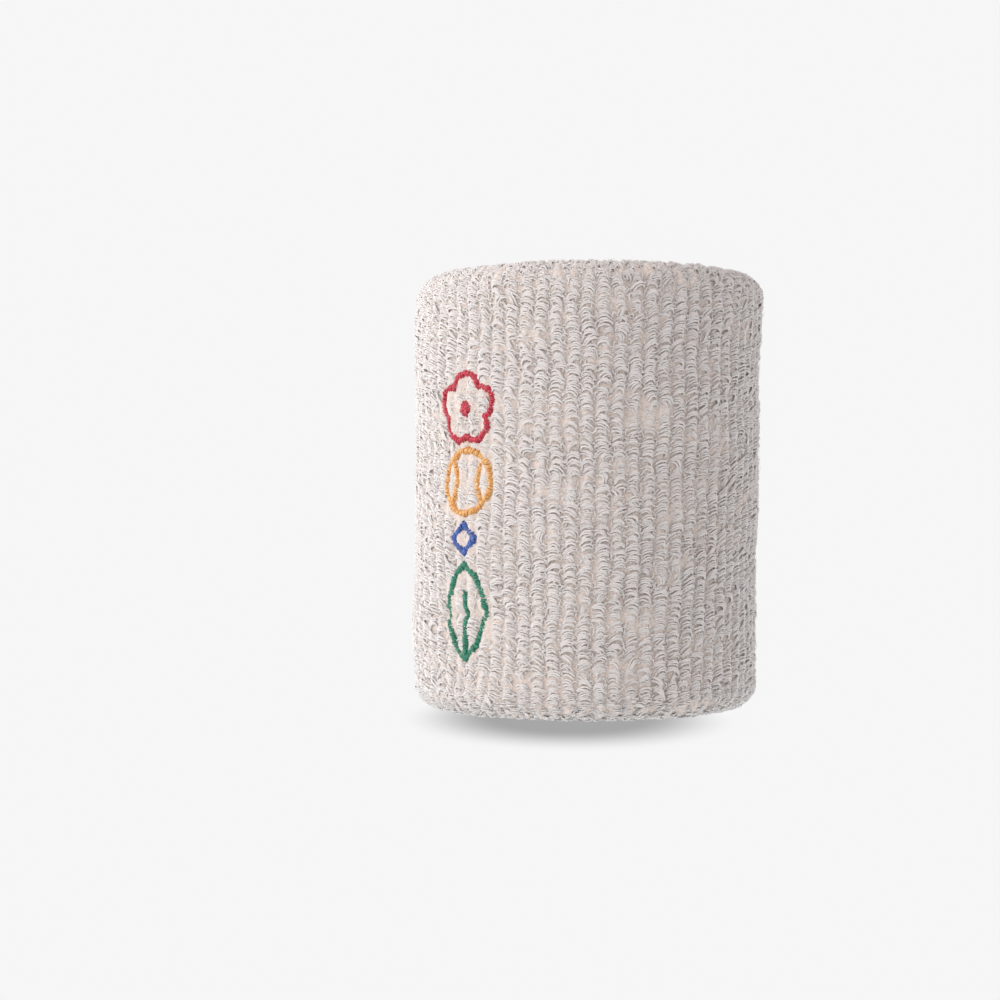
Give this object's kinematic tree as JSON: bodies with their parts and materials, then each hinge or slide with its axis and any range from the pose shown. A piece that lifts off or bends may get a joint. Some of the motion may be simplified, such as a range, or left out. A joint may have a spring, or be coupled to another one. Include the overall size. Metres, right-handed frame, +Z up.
{
  "type": "sweat wristband",
  "caption": "Short terry wristband: a looped cotton tube folded double, seamed inside, with a small embroidered outline motif in coloured threads.",
  "frame": {"origin": "centre of the bottom rim's resting plane, on the band's axis", "axes": "+Z up along the axis of the wrist opening; the embroidered motif faces -Y"},
  "size_m": [0.061, 0.061, 0.076],
  "materials": {
    "terry_pile": "matt cream cotton terry loops",
    "ground_knit": "matt cream jersey knit",
    "elastic_yarn": "matt square-cut rubber thread",
    "sewing_thread": "spun polyester sewing thread",
    "embroidery_red": "shiny red embroidery thread",
    "embroidery_amber": "shiny amber embroidery thread",
    "embroidery_blue": "shiny blue embroidery thread",
    "embroidery_green": "shiny green embroidery thread",
    "bobbin_thread": "white bobbin thread",
    "backing": "thin white non-woven backing"
  },
  "bodies": {
    "root": {"terry_pile": "terry_pile", "knit_ground": "ground_knit", "elastic_yarn": "elastic_yarn", "seam_needle_thread": "sewing_thread", "seam_upper_looper_thread": "sewing_thread", "seam_lower_looper_thread": "sewing_thread", "embroidery_red": "embroidery_red", "embroidery_amber": "embroidery_amber", "embroidery_blue": "embroidery_blue", "embroidery_green": "embroidery_green", "embroidery_bobbin_thread": "bobbin_thread", "embroidery_backing": "backing"}
  },
  "joints": []
}
